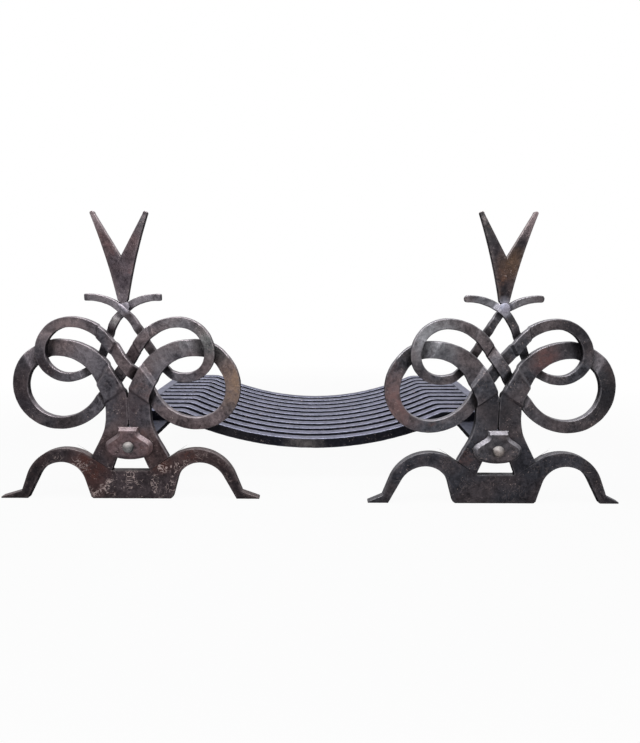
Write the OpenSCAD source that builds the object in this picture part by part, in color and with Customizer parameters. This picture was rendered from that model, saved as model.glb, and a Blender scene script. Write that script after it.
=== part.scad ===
// Pair of wrought-iron andirons with a dished fire grate resting on their log bars.
// X runs across the hearth, Y runs back from the standards, Z is up. Millimetres.
// Each standard is drawn around its own axis with its front face at Y = 0, then the
// whole set is moved so that its origin is the middle of the box it stands in.

/* [Set] */
// Distance between the axes of the two standards
standard_spacing = 656; // [560:2:760]
// How far the right standard stands ahead of the left one
right_ahead = 17; // [0:1:24]
// Height of the spear tips above the floor
standard_height = 510; // [490:1:540]

/* [Base plate] */
// Thickness of the base plate
base_t = 16; // [13:0.5:22]
// Half width of the centre foot on the floor
centre_foot_half = 73.5; // [66:0.5:78]
// Height of the window sill between the stem feet
sill_z = 53; // [46:1:60]
// Half width of the window at its sill
window_half = 34; // [28:1:36]
// Height of the notch where arch and stem meet
crotch_z = 79; // [74:1:84]
// Distance of that notch from the axis
crotch_u = 70; // [66:0.5:74]
// Distance of the arch tops from the axis
arch_u = 118; // [112:1:124]
// Height of the arch tops
arch_top_z = 94; // [90:1:100]
// Outer radius of the arches
arch_r = 76; // [72:1:80]
// Height of the opening under each arch
arch_inner_z = 68.5; // [60:0.5:72]
// Radius of the opening on its centre-foot side
arch_inner_r = 42.5; // [38:0.5:46]
// Radius of the opening on its leg side
leg_inner_r = 48.5; // [44:0.5:52]
// Lean of the leg's outer edge away from upright
leg_lean = 21; // [17:1:25]
// Height of the ankle above the floor
ankle_z = 14; // [10:1:20]
// Distance of the left dog's outer toe from its axis
left_outer_toe = 239; // [222:1:245]
// Distance of the left dog's inner toe from its axis
left_inner_toe = 232; // [222:1:245]
// Distance of the right dog's inner toe from its axis
right_inner_toe = 227; // [222:1:245]
// Distance of the right dog's outer toe from its axis
right_outer_toe = 224; // [218:1:245]
// Blunt height of the toe
toe_h = 2.5; // [1.5:0.5:5]

/* [Scroll bars] */
// Thickness of the bars
bar_t = 12.7; // [10:0.1:14]
// Thickness of the bars at the whisker tips
tip_t = 9.5; // [7:0.5:12]
// Width of each half of the stem
stem_w = 39.4; // [36:0.2:42]
// Seam between the two halves of the stem
seam = 0.8; // [0.4:0.1:2]
// Height where the seam starts to open downwards
seam_open_z = 140; // [136:1:148]
// Height of the top of the plain stem
stem_top_z = 160; // [154:1:166]
// Radius of the stem's flare
flare_r = 100; // [80:1:120]
// Straight run before the bars part
parting_run = 22; // [18:1:26]
// Radius of the bend that parts the bars
parting_r = 45; // [38:1:52]
// Straight run of the shoulder
shoulder_run = 31; // [26:1:36]
// Radius of the shoulder up to the top of the big ring
shoulder_r = 88; // [82:1:94]
// Radius of the big ring's outer quarter
big_ring_r = 70.5; // [66:0.5:74]
// Radius of the big ring's lower quarter
big_ring_low_r = 65.5; // [62:0.5:69]
// Radius of the return to the middle
return_r = 88; // [84:1:92]
// Straight run through the middle crossing
cross_run = 138; // [132:1:144]
// Radius of the bend into the small ring
small_lead_r = 80; // [75:1:85]
// Radius of the small ring's outer quarter
small_ring_r = 54; // [51:0.5:57]
// Radius of the small ring's lower quarter
small_ring_low_r = 44.3; // [42:0.1:47]
// Radius of the bend into the tail
tail_r = 62; // [58:1:66]
// Straight run of the tail
tail_run = 62; // [56:1:68]
// Radius of the whisker
whisker_r = 90; // [84:1:96]
// Width at the top of the shoulder
shoulder_w = 37.5; // [32:0.5:39]
// Width at the top of the big ring
ring_w = 29; // [25:0.5:31]
// Width at the side of the big ring
ring_side_w = 26.6; // [24:0.1:28]
// Width from the foot of the big ring through the middle
middle_w = 21.8; // [19:0.1:22.5]
// Width around the small ring
small_w = 18.4; // [16:0.1:19]
// Width at the foot of the small ring
tail_w = 16; // [13:0.1:16.5]
// Width at the whisker tip
tip_w = 11.8; // [9:0.1:12.5]
// Radius that rounds the whisker tip
tip_round = 3; // [1.5:0.5:3.5]
// Chamfer on the edges of the bars
bar_chamfer = 1.4; // [0.6:0.1:2]
// Length of a plain joggle, where a bar steps over or under another
joggle_run = 12; // [9:1:14]
// Length of the joggle of the tail as it dips behind the twin's shoulder
tail_joggle_run = 16; // [12:1:20]
// Length of the joggle from the middle crossing towards the small ring
middle_joggle_run = 20; // [10:1:22]
// Length of the joggles where the rings cross
ring_joggle_run = 24; // [14:1:28]
// Length of the sharp steps on the shoulder and on the small ring's strap
strap_step = 5; // [4:0.5:8]
// Level length from such a step to the bar that it spans
strap_land = 8; // [4:0.5:9]
// Clearance between bars where they cross
weave_gap = 0.4; // [0.3:0.1:0.8]

/* [Spear] */
// Thickness of the spear
spear_t = 11; // [8:0.5:12]
// Distance of the tips from the axis
spear_spread = 45; // [38:1:52]
// Width of a tip
spear_tip_w = 7.5; // [5:0.5:10]
// Width of the neck above the crossing
spear_neck_w = 17; // [15:1:22]
// Depth of the notch between the tips
notch_depth = 76; // [60:1:90]
// Bow of the outer edges
spear_bow = 3; // [0:0.5:6]

/* [Keeper] */
// Thickness of the keeper plate
keeper_t = 8; // [7:0.5:10]
// Width of the bevel on its front
keeper_bevel = 6; // [3:0.5:6.5]
// Half width of the keeper
keeper_half = 43; // [40:0.5:46]
// Height of the rivet's centre
rivet_z = 99; // [95:1:99]
// Top of the keeper above the rivet
keeper_up = 36; // [34:0.5:40]
// Bottom of the keeper below the rivet
keeper_down = 24; // [22:0.5:26]
// Half width of the tab
tab_half = 18.5; // [16:0.5:20]
// Diameter of the rivet's head
rivet_head_d = 22; // [18:0.5:26]
// Height of the rivet's head
rivet_head_h = 9; // [6:0.5:11]
// Diameter of the clinched tail behind the log bar
rivet_tail_d = 15; // [14:0.5:15.5]
// Diameter of the rivet's shank
rivet_d = 12; // [9:0.5:13]
// Clearance round the shank
rivet_gap = 0.3; // [0.1:0.05:0.5]
// Height of the clinched tail behind the log bar
rivet_tail_h = 5; // [3:0.5:7]

/* [Log bar] */
// Width of the log bar
log_bar_w = 84; // [70:1:90]
// Thickness of the log bar
log_bar_t = 10; // [8:0.5:12]
// Height of its top, where the grate rests
log_bar_top = 119; // [116:0.5:124]
// Inner radius of its bends
log_bar_bend_r = 2; // [1:0.5:2.5]
// Bottom of the front tongue behind the stem
tongue_z = 76; // [72:1:80]
// Distance that it runs on behind the rearmost slat
log_bar_past = 26; // [20:1:40]

/* [Grate] */
// Side of the square grate bars
slat = 20; // [16:0.5:22]
// Distance from slat to slat
slat_pitch = 40; // [30:1:44]
// Distance of the front slat behind the standards
grate_front = 112; // [80:1:140]
// Half length of the grate over its end bars
grate_half = 363; // [352:1:368]
// Depth of the dish
dish_sag = 56; // [40:1:64]
// Slope of the slats where the dish begins
dish_angle = 24; // [20:0.5:28]
// Inner radius of the bends there
slat_bend_r = 18; // [10:1:30]

/* [Hidden] */

iron = [0.27, 0.25, 0.25];
brown_iron = [0.33, 0.27, 0.26];
grate_iron = [0.33, 0.34, 0.38];

slat_count = 11;
left = -1;
right = 1;
arc_error = 0.12;   // how far the sides of an outline may lie inside its true arc
ring_step = 9;      // millimetres between the rings of a swept bar
probe_step = 5;     // millimetres between the points that look for crossings
seat_gap = 0.3;     // clearance where a piece rests on its neighbour

grate_back = grate_front + (slat_count - 1) * slat_pitch + slat;
log_bar_end = grate_back + log_bar_past;
front_reach = keeper_t + rivet_head_h;
set_shift = [(left_outer_toe - right_outer_toe) / 2,
             (front_reach + right_ahead - log_bar_end) / 2];

// ---- outlines and paths ------------------------------------------------------------

function lerp(a, b, k) = a + (b - a) * k;
function cross2(a, b) = a[0] * b[1] - a[1] * b[0];
function polar(r, a) = [r * cos(a), r * sin(a)];

// sides that an arc needs
function arc_sides(r, turn) = max(1, ceil(abs(turn) / (2 * acos(1 - arc_error / r))));

// points of an arc about c, from angle a to angle b
function arc(c, r, a, b) =
    let (n = arc_sides(r, b - a))
    [for (i = [0:n]) c + polar(r, lerp(a, b, i / n))];

// the same points mirrored in the axis, in reverse order
function flipped(points) =
    [for (i = [len(points) - 1:-1:0]) [-points[i][0], points[i][1]]];

// A path is a list of runs. Each run is [length, turn, width at its end]; a turn is
// positive to the left.
function line(length, w = 0) = [length, 0, w];
function bend(r, turn, w = 0) = [r * abs(turn) * PI / 180, turn, w];
function radius_of(run) = run[0] * 180 / PI / abs(run[1]);

function travel(p, heading, run, d) =
    let (turn = run[1] * d / run[0], k = run[1] * PI / 180 / run[0])
    run[1] == 0
        ? p + polar(d, heading)
        : p + [sin(heading + turn) - sin(heading), cos(heading) - cos(heading + turn)] / k;

// start of every run and end of the last: [station, point, heading, width]
function joints_of(path, p, heading, w) =
    [for (i = 0, s = 0, at = p, h = heading, wide = w;
          i <= len(path);
          s = s + (i < len(path) ? path[i][0] : 0),
          at = i < len(path) ? travel(at, h, path[i], path[i][0]) : at,
          wide = i < len(path) ? path[i][2] : wide,
          h = h + (i < len(path) ? path[i][1] : 0),
          i = i + 1)
        [s, at, h, wide]];

function run_at(joints, s, i = 0) =
    i >= len(joints) - 2 || s < joints[i + 1][0] ? i : run_at(joints, s, i + 1);

// [point, heading, width] at a station
function place(path, joints, s) =
    let (i = run_at(joints, s), j = joints[i], d = s - j[0])
    [travel(j[1], j[2], path[i], d),
     j[2] + path[i][1] * d / path[i][0],
     lerp(j[3], joints[i + 1][3], d / path[i][0])];

// outline of a bar of thickness t bent along a path
function bent_bar(path, p, heading, t) =
    let (joints = joints_of(path, p, heading, 0),
         stations = [for (i = [0:len(path) - 1])
             let (n = path[i][1] == 0 ? 1 : arc_sides(radius_of(path[i]), path[i][1]))
             for (k = [0:n - 1]) joints[i][0] + path[i][0] * k / n],
         all = concat(stations, [joints[len(path)][0]]),
         spots = [for (s = all) place(path, joints, s)])
    concat([for (q = spots) q[0] + polar(t / 2, q[1] + 90)],
           [for (i = [len(spots) - 1:-1:0]) spots[i][0] + polar(t / 2, spots[i][1] - 90)]);

// ---- base plate --------------------------------------------------------------------

// slope of the leg's inner edge, and of the centre foot's side
leg_inner_lean = 28;
foot_side_lean = 18;
inner_shift = 7;     // the opening's top lies this far outside the arch's top
corner_r = 3;

function base_half(toe_u) =
    let (arch_c = [arch_u, arch_top_z - arch_r],
         crotch_a = 180 - asin((crotch_z - arch_c[1]) / arch_r),
         leg_top = arch_c + polar(arch_r, leg_lean),
         ankle = [leg_top[0] + (leg_top[1] - ankle_z) * tan(leg_lean), ankle_z],
         inner_u = arch_u + inner_shift,
         leg_c = [inner_u, arch_inner_z - leg_inner_r],
         leg_in = leg_c + polar(leg_inner_r, leg_inner_lean),
         foot_c = [inner_u, arch_inner_z - arch_inner_r])
    concat(
        [[centre_foot_half - corner_r, 0],
         [centre_foot_half + corner_r * sin(foot_side_lean), corner_r]],
        arc(foot_c, arch_inner_r, 180 - foot_side_lean, 90),
        arc(leg_c, leg_inner_r, 90, leg_inner_lean),
        [[leg_in[0] + leg_in[1] * tan(leg_inner_lean), 0],
         [toe_u, 0], [toe_u, toe_h], ankle],
        arc(arch_c, arch_r, leg_lean, crotch_a),
        [[crotch_u, crotch_z], [window_half, sill_z]]);

module base_plate(left_toe, right_toe) {
    color(brown_iron)
        rotate([90, 0, 0])
            translate([0, 0, -base_t])
                linear_extrude(base_t)
                    polygon(concat(base_half(right_toe), flipped(base_half(left_toe))));
}

// ---- scroll bars -------------------------------------------------------------------

stem_u = seam / 2 + stem_w / 2;
part_turn = 28;
return_turn = 54;
tail_turn = 64;
tip_run = 5;         // straight end of the whisker
flat_margin = 1;     // level length beyond the edge of the bar that is crossed

scroll = [
    line(parting_run, stem_w),
    bend(parting_r, -part_turn, stem_w),
    line(shoulder_run, shoulder_w),
    bend(shoulder_r, part_turn - 90, ring_w),
    bend(big_ring_r, -90, ring_side_w),
    bend(big_ring_low_r, -90, middle_w),
    bend(return_r, -return_turn, middle_w),
    line(cross_run, lerp(middle_w, small_w, 0.5)),
    bend(small_lead_r, return_turn, small_w),
    bend(small_ring_r, 90, small_w),
    bend(small_ring_low_r, 90, tail_w),
    bend(tail_r, tail_turn, lerp(tail_w, tip_w, 0.35)),
    line(tail_run, lerp(tail_w, tip_w, 0.5)),
    bend(whisker_r, -tail_turn, lerp(tail_w, tip_w, 0.9)),
    line(tip_run, tip_w)
];
scroll_joints = joints_of(scroll, [stem_u, stem_top_z], 90, stem_w);
scroll_len = scroll_joints[len(scroll)][0];
thin_from = scroll_joints[8][0];

function scroll_at(s) = place(scroll, scroll_joints, s);
function thickness(s) = lerp(bar_t, tip_t, max(0, s - thin_from) / (scroll_len - thin_from));

// Points along the bar, and the segments where it crosses itself or its twin.
// A crossing is [station, station on the other bar, heading here, heading there].
probe_n = ceil(scroll_len / probe_step);
probes = [for (i = [0:probe_n]) scroll_at(scroll_len * i / probe_n)[0]];
twins = [for (p = probes) [-p[0], p[1]]];

function meet(p, q, a, b) =
    let (r = q - p, s = b - a, den = cross2(r, s))
    abs(den) < 1e-9 ? undef :
    let (t = cross2(a - p, s) / den, u = cross2(a - p, r) / den)
    t >= 0 && t < 1 && u >= 0 && u < 1 ? [t, u] : undef;

function heading_of(p, q) = atan2(q[1] - p[1], q[0] - p[0]);

crossings = [
    for (i = [0:probe_n - 1]) for (twin = [false, true]) for (j = [0:probe_n - 1])
        let (others = twin ? twins : probes, near = !twin && abs(i - j) < 4,
             hit = near ? undef : meet(probes[i], probes[i + 1], others[j], others[j + 1]))
        if (hit != undef)
            [(i + hit[0]) * scroll_len / probe_n, (j + hit[1]) * scroll_len / probe_n,
             heading_of(probes[i], probes[i + 1]), heading_of(others[j], others[j + 1])]];

// Which crossings each bar passes over (1) or under (-1), from the stem to the tip, and its
// share of the step there: the other bar at that crossing takes the rest.
weave_a = [1, 1, -1, -1, -1, 1, 1, -1, -1, 1];
weave_b = [1, 1, -1, -1, 1, 1, 1, -1, -1, -1];
shares = [0.5, 0, 0.8, 0.5, 0.5, 0.5, 0.2, 1, 0.5, 0.5];

function flat_half(c) = scroll_at(c[1])[2] / 2 / abs(sin(c[3] - c[2])) + flat_margin;
function step_out(c) = (thickness(c[0]) + thickness(c[1])) / 2 + weave_gap;
function slant(c) = cos(c[3] - c[2]) / sin(c[3] - c[2]);

// length of each crossing's steps, and of the level stretch beyond the other bar's edge
steps = [strap_step, joggle_run, ring_joggle_run, joggle_run, middle_joggle_run,
         strap_step, ring_joggle_run, tail_joggle_run, joggle_run, joggle_run];
lands = [strap_land, 0, 0, 0, 0, strap_land, 0, 0, 0, 0];

// knots of the joggles: [station, offset towards the front, slant of the ring]
function joggle_knots(weave) =
    let (n = len(crossings),
         top = [for (k = [0:n - 1]) flat_half(crossings[k]) + lands[k]],
         foot = top + steps)
    concat([[0, 0, 0]],
        [for (k = [0:n - 1])
            let (at = crossings[k][0], m = slant(crossings[k]),
                 y = weave[k] * shares[k] * step_out(crossings[k]),
                 before = at - foot[k] - (k == 0 ? 0 : crossings[k - 1][0] + foot[k - 1]),
                 after = (k == n - 1 ? scroll_len : crossings[k + 1][0] - foot[k + 1])
                     - at - foot[k])
            if (shares[k] > 0) each concat(
                before > 0 ? [[at - foot[k], 0, m]] : [],
                [[at - top[k], y, m], [at + top[k], y, m]],
                after > 0 ? [[at + foot[k], 0, m]] : [])],
        [[scroll_len, 0, 0]]);

// stations of the rings between two knots
function ring_stations(knots) =
    concat([for (i = [0:len(knots) - 2])
        let (a = knots[i], b = knots[i + 1], n = max(1, ceil((b[0] - a[0]) / ring_step)))
        for (k = [0:n - 1]) lerp(a, b, k / n)],
        [[scroll_len, 0, 0]]);

// eight points of a chamfered section from edge a to edge b, y_mid behind the front face
function section(a, b, y_mid, t) =
    let (w = norm(b - a), e = (b - a) / w, c = bar_chamfer, f = t / 2)
    [for (q = [[0, c - f], [0, f - c], [c, f], [w - c, f], [w, f - c], [w, c - f],
               [w - c, -f], [c, -f]])
        [a[0] + e[0] * q[0], y_mid + q[1], a[1] + e[1] * q[0]]];

// edges of the stem half below the plain top, which opens and flares to the base plate
flare_turn = 30;
flare_end_z = stem_top_z - flare_r * sin(flare_turn);
flare_end_u = seam / 2 + stem_w + flare_r * (1 - cos(flare_turn));
function stem_inner(z) =
    seam / 2 + max(0, seam_open_z - z) / (seam_open_z - sill_z) * (window_half - seam / 2);
function stem_outer(z) =
    z >= flare_end_z
        ? seam / 2 + stem_w + flare_r - sqrt(pow(flare_r, 2) - pow(stem_top_z - z, 2))
        : lerp(flare_end_u, crotch_u, (flare_end_z - z) / (flare_end_z - crotch_z));
stem_levels = 9;

function stem_rings() =
    [for (k = [0:stem_levels - 1])
        let (zi = lerp(sill_z, stem_top_z, k / stem_levels),
             zo = lerp(crotch_z, stem_top_z, k / stem_levels))
        section([stem_inner(zi), zi], [stem_outer(zo), zo], bar_t / 2, bar_t)];

// two smaller rings that round off the whisker's tip
function tip_rings() =
    let (at = scroll_at(scroll_len))
    [for (a = [35, 65])
        let (p = at[0] + polar(tip_round * sin(a), at[1]), w = tip_w / 2 - tip_round * (1 - cos(a)))
        section(p + polar(w, at[1] + 90), p - polar(w, at[1] + 90), bar_t / 2,
                tip_t - 2 * tip_round * (1 - cos(a)))];

function edge_point(s, slope, q) =
    let (at = scroll_at(max(0, min(scroll_len, s + slope * q))))
    at[0] + polar(q, at[1] + 90);

function scroll_rings(weave) =
    concat([for (r = ring_stations(joggle_knots(weave)))
        let (w = scroll_at(r[0])[2])
        section(edge_point(r[0], r[2], w / 2), edge_point(r[0], r[2], -w / 2),
                bar_t / 2 - r[1], thickness(r[0]))],
        tip_rings());

// Solid skin over a list of rings with the same number of points. It is capped at both
// ends, or the last ring joins the first.
module skin(rings, capped = true) {
    n = len(rings[0]);
    m = len(rings);
    points = [for (ring = rings) each ring];
    sides = [for (i = [0:m - (capped ? 2 : 1)]) for (k = [0:n - 1])
        let (next = (i + 1) % m * n, a = i * n + k, b = i * n + (k + 1) % n)
        each [[a, b, next + (k + 1) % n], [a, next + (k + 1) % n, next + k]]];
    caps = [[for (k = [n - 1:-1:0]) k], [for (k = [0:n - 1]) (m - 1) * n + k]];
    polyhedron(points, concat(sides, capped ? caps : []));
}

// bar of the right half of the standard; its twin is the mirror image
module scroll_bar(weave) {
    color(iron) skin(concat(stem_rings(), scroll_rings(weave)));
}

module scroll_bar_a() {
    mirror([1, 0, 0]) scroll_bar(weave_a);
}

module scroll_bar_b() {
    scroll_bar(weave_b);
}

// ---- spear -------------------------------------------------------------------------

top_cross = crossings[len(crossings) - 1];
whisker_slope = abs(tan(top_cross[2]));
whisker_half = scroll_at(top_cross[0])[2] / 2;
cross_z = scroll_at(top_cross[0])[0][1];
spear_seat_z = cross_z + whisker_half / cos(top_cross[2]) + seat_gap;

bow_sides = 8;

function spear_half() =
    let (neck = [spear_neck_w / 2, spear_seat_z + spear_neck_w / 2 * whisker_slope],
         shoulder = [spear_spread + spear_tip_w / 2, standard_height - spear_tip_w / 2])
    concat(
        [for (i = [0:bow_sides])
            let (k = i / bow_sides)
            lerp(neck, shoulder, k) - [4 * spear_bow * k * (1 - k), 0]],
        arc([spear_spread, standard_height - spear_tip_w / 2], spear_tip_w / 2, 0, 180));

module spear() {
    seat = [0, spear_seat_z];
    notch = [0, standard_height - notch_depth];
    color(brown_iron)
        translate([0, (bar_t - spear_t) / 2, 0])
            rotate([90, 0, 0])
                translate([0, 0, -spear_t])
                    linear_extrude(spear_t)
                        polygon(concat([seat], spear_half(), [notch],
                                       flipped(spear_half())));
}

// ---- keeper plate and rivet --------------------------------------------------------

tab_fillet_r = 8;    // between the tab and the slope down to a lobe
lobe_r = 14;         // upper quarter of a lobe
lobe_turn = 56;      // from the widest point up to the slope
belly_r = 20.5;      // lower quarter of a lobe
belly_turn = 75;     // from the widest point down to the flat belly
keeper_arc_sides = 5;
belly_sides = 4;

// right half of the outline, from the top down to the bottom, about the rivet
function keeper_half_points() =
    let (lobe_c = [keeper_half - lobe_r, 0],
         fillet_u = tab_half + tab_fillet_r,
         fillet_z = (lobe_r + tab_fillet_r - (fillet_u - lobe_c[0]) * cos(lobe_turn))
             / sin(lobe_turn),
         belly_c = [keeper_half - belly_r, 0],
         end = belly_c + polar(belly_r, -belly_turn))
    concat(
        [[tab_half / 2, keeper_up], [tab_half, keeper_up]],
        [for (k = [0:keeper_arc_sides])
            [fillet_u, fillet_z] + polar(tab_fillet_r, 180 + lobe_turn * k / keeper_arc_sides)],
        [for (k = [keeper_arc_sides:-1:1])
            lobe_c + polar(lobe_r, lobe_turn * k / keeper_arc_sides)],
        [for (k = [0:keeper_arc_sides])
            belly_c + polar(belly_r, -belly_turn * k / keeper_arc_sides)],
        [for (k = [1:belly_sides - 1])
            let (u = end[0] * (1 - k / belly_sides))
            [u, -keeper_down + (keeper_down + end[1]) * pow(u / end[0], 2)]]);

keeper_points = concat([[0, keeper_up]], keeper_half_points(), [[0, -keeper_down]],
                       flipped(keeper_half_points()));

// outline moved inwards by d along the bisector of each corner
function inset(points, d) =
    let (n = len(points))
    [for (i = [0:n - 1])
        let (a = points[i] - points[(i + n - 1) % n], b = points[(i + 1) % n] - points[i],
             na = [a[1], -a[0]] / norm(a), nb = [b[1], -b[0]] / norm(b), m = na + nb)
        points[i] + m * (d / (1 + na * nb))];

// circle with one point towards each point of an outline
function hole_in(points, r) = [for (p = points) p * (r / norm(p))];

module bevelled_plate(points, t, bevel, hole_r) {
    function layer(q, y) = [for (p = q) [p[0], y, p[1]]];
    skin([layer(points, 0), layer(points, bevel - t), layer(inset(points, bevel), -t),
          layer(hole_in(points, hole_r), -t), layer(hole_in(points, hole_r), 0)],
         capped = false);
}

module keeper() {
    color(brown_iron)
        translate([0, 0, rivet_z])
            bevelled_plate(keeper_points, keeper_t, keeper_bevel, rivet_d / 2 + rivet_gap);
}

tongue_back = bar_t + log_bar_t;

module rivet() {
    head_r = (pow(rivet_head_d / 2, 2) + pow(rivet_head_h, 2)) / (2 * rivet_head_h);
    color(brown_iron)
        translate([0, -keeper_t, rivet_z])
            rotate([90, 0, 0])
                rotate_extrude($fn = 48)
                    union() {
                        intersection() {
                            translate([0, rivet_head_h - head_r]) circle(head_r, $fn = 96);
                            square([rivet_head_d, rivet_head_h]);
                        }
                        translate([0, -keeper_t - tongue_back])
                            square([rivet_d / 2, keeper_t + tongue_back]);
                        translate([0, -keeper_t - tongue_back - rivet_tail_h])
                            square([rivet_tail_d / 2, rivet_tail_h]);
                    }
}

// ---- log bar with its tongue and rear leg ------------------------------------------

module log_bar() {
    r = log_bar_bend_r + log_bar_t / 2;
    mid_z = log_bar_top - log_bar_t / 2;
    run = log_bar_end - bar_t - log_bar_t - 2 * r;
    path = [line(mid_z - r - tongue_z), bend(r, -90), line(run), bend(r, -90),
            line(mid_z - r)];
    color(iron)
        difference() {
            rotate([90, 0, 90])
                translate([0, 0, -log_bar_w / 2])
                    linear_extrude(log_bar_w)
                        polygon(bent_bar(path, [bar_t + log_bar_t / 2, tongue_z], 90,
                                         log_bar_t));
            translate([0, bar_t - 1, rivet_z])
                rotate([-90, 0, 0])
                    cylinder(d = rivet_d + 2 * rivet_gap, h = log_bar_t + 2, $fn = 48);
        }
}

// ---- grate -------------------------------------------------------------------------

slat_r = slat_bend_r + slat / 2;
dish_r = dish_sag / (1 - cos(dish_angle)) - slat_r;
slat_half = grate_half - slat;
grate_z = log_bar_top + seat_gap;
flat_run = slat_half - (dish_r + slat_r) * sin(dish_angle);

module slat_bar(index) {
    path = [line(flat_run), bend(slat_r, -dish_angle), bend(dish_r, 2 * dish_angle),
            bend(slat_r, -dish_angle), line(flat_run)];
    color(grate_iron)
        translate([0, grate_front + (index - 1) * slat_pitch + slat, 0])
            rotate([90, 0, 0])
                linear_extrude(slat)
                    polygon(bent_bar(path, [-slat_half, grate_z + slat / 2], 0, slat));
}

module end_bar(side) {
    color(grate_iron)
        translate([side * (slat_half + slat / 2) - slat / 2, grate_front, grate_z])
            cube([slat, grate_back - grate_front, slat]);
}

// ---- assembly ----------------------------------------------------------------------

module in_set() {
    translate(set_shift) children();
}

module standard(side) {
    in_set()
        translate([side * standard_spacing / 2, side == right ? -right_ahead : 0, 0])
            children();
}

standard(left) base_plate(left_outer_toe, left_inner_toe);  // left_base_plate
standard(left) scroll_bar_a();  // left_scroll_bar_a
standard(left) scroll_bar_b();  // left_scroll_bar_b
standard(left) spear();  // left_spear
standard(left) keeper();  // left_keeper
standard(left) rivet();  // left_rivet
standard(left) log_bar();  // left_log_bar
standard(right) base_plate(right_inner_toe, right_outer_toe);  // right_base_plate
standard(right) scroll_bar_a();  // right_scroll_bar_a
standard(right) scroll_bar_b();  // right_scroll_bar_b
standard(right) spear();  // right_spear
standard(right) keeper();  // right_keeper
standard(right) rivet();  // right_rivet
standard(right) log_bar();  // right_log_bar
in_set() slat_bar(1);  // slat_01
in_set() slat_bar(2);  // slat_02
in_set() slat_bar(3);  // slat_03
in_set() slat_bar(4);  // slat_04
in_set() slat_bar(5);  // slat_05
in_set() slat_bar(6);  // slat_06
in_set() slat_bar(7);  // slat_07
in_set() slat_bar(8);  // slat_08
in_set() slat_bar(9);  // slat_09
in_set() slat_bar(10);  // slat_10
in_set() slat_bar(11);  // slat_11
in_set() end_bar(left);  // left_end_bar
in_set() end_bar(right);  // right_end_bar
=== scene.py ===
"""Looks of a pair of forged fire dogs and the dished grate that rests on them.

Pieces are built in millimetres around the axis of their own dog, with the front face at
y = 0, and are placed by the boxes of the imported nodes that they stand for.
"""

from math import asin, atan2, ceil, copysign, cos, degrees, pi, radians, sin, sqrt, tan

import bpy
import bmesh
from mathutils import Matrix, Vector, noise
from mathutils.geometry import delaunay_2d_cdt


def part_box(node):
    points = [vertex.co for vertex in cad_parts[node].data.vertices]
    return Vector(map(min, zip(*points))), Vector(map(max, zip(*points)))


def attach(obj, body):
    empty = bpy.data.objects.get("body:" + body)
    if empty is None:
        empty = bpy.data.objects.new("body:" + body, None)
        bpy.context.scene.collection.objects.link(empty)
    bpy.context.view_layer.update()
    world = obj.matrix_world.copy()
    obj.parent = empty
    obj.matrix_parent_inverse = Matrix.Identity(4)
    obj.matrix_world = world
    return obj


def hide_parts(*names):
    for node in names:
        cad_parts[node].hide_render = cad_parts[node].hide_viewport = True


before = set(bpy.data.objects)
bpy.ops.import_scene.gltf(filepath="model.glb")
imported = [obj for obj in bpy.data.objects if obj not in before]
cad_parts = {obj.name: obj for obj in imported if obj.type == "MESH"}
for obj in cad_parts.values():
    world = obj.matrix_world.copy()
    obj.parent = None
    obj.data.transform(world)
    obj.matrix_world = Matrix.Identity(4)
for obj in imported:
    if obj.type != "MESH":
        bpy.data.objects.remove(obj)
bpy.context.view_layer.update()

MM = 0.001

# ---- sizes of the fire dogs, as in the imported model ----

BASE_T = 16
FOOT_HALF = 73.5
SILL_Z = 53
WINDOW_HALF = 34
CROTCH = (70, 79)
ARCH_U = 118
ARCH_TOP_Z = 94
ARCH_R = 76
INNER_TOP_Z = 68.5
INNER_R = 42.5
LEG_INNER_R = 48.5
LEG_LEAN = 21
LEG_INNER_LEAN = 28
FOOT_LEAN = 18
INNER_SHIFT = 7
ANKLE_Z = 14
TOE_H = 2.5
FOOT_CORNER_R = 3

BAR_T = 12.7
TIP_T = 9.5
STEM_W = 39.4
SEAM = 0.8
SEAM_OPEN_Z = 140
STEM_TOP_Z = 160
FLARE_R = 100
FLARE_TURN = 30
TIP_W = 11.8
SCROLL_RUNS = [  # length or radius, turn and width at its end, from the stem to the tip
    (22, 0, STEM_W), (45, -28, STEM_W),
    (31, 0, 37.5), (88, -62, 29),  # shoulder
    (70.5, -90, 26.6), (65.5, -90, 21.8),  # big ring
    (88, -54, 21.8), (138, 0, 20.1),  # across the middle
    (80, 54, 18.4), (54, 90, 18.4), (44.3, 90, 16),  # small ring
    (62, 64, 14.53), (62, 0, 13.9), (90, -64, 12.22), (5, 0, TIP_W)]  # whisker
THIN_AFTER = 8  # of these runs, where the bar starts to get thinner
LAND_MARGIN = 1  # least that the level part at a crossing reaches past the other bar
WEAVE_GAP = 0.4

SPEAR_T = 11
SPEAR_SPREAD = 45
SPEAR_TIP_W = 7.5
SPEAR_NECK_W = 17
SPEAR_BOW = 3
NOTCH_DEPTH = 76
SEAT_GAP = 0.3

KEEPER_T = 8
KEEPER_BEVEL = 6
KEEPER_HALF = 43
KEEPER_UP = 36
KEEPER_DOWN = 24
TAB_HALF = 18.5
TAB_FILLET_R = 8
LOBE_R = 14
LOBE_TURN = 56
BELLY_R = 20.5
BELLY_TURN = 75
RIVET_HEAD_R = 11
RIVET_HEAD_H = 9
RIVET_R = 6
RIVET_HOLE_R = 6.3
RIVET_TAIL_R = 7.1
RIVET_TAIL_H = 5

LOG_BAR_T = 10
LOG_BEND_R = 7
TONGUE_Z = 76

SLAT = 20
SLAT_BEND_R = 28
DISH_ANGLE = 24
DISH_SAG = 56

# ---- details of the two dogs that only the scene has ----

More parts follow.
